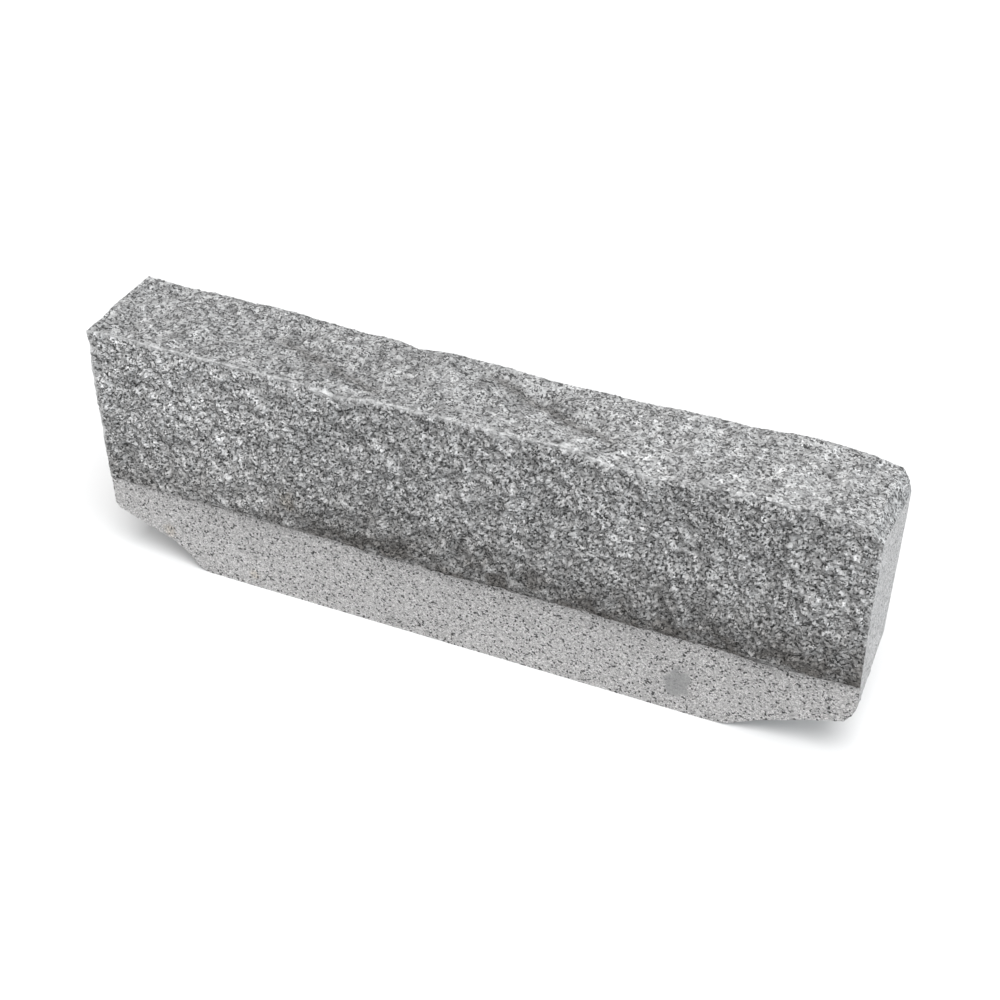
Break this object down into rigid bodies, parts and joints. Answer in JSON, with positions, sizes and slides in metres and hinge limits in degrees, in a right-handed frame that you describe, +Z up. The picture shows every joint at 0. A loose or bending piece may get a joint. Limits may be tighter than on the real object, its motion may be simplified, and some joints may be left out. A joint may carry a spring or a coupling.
{
  "type": "granite kerb stone",
  "caption": "Grey granite kerb stone with a split top, a hewn front over a sawn strip, sawn ends and base, and broken lower corners, to edge a road or bed.",
  "frame": {"origin": "middle of the stone's length and overall width, on the level of the sawn base", "axes": "+X along the kerb, -Y out of the hewn front, +Z up"},
  "size_m": [0.872, 0.1339, 0.3021],
  "materials": {
    "granite": "speckled grey granite, split and hewn with fine sawn faces"
  },
  "bodies": {
    "root": {"kerb_stone": "granite"}
  },
  "joints": []
}
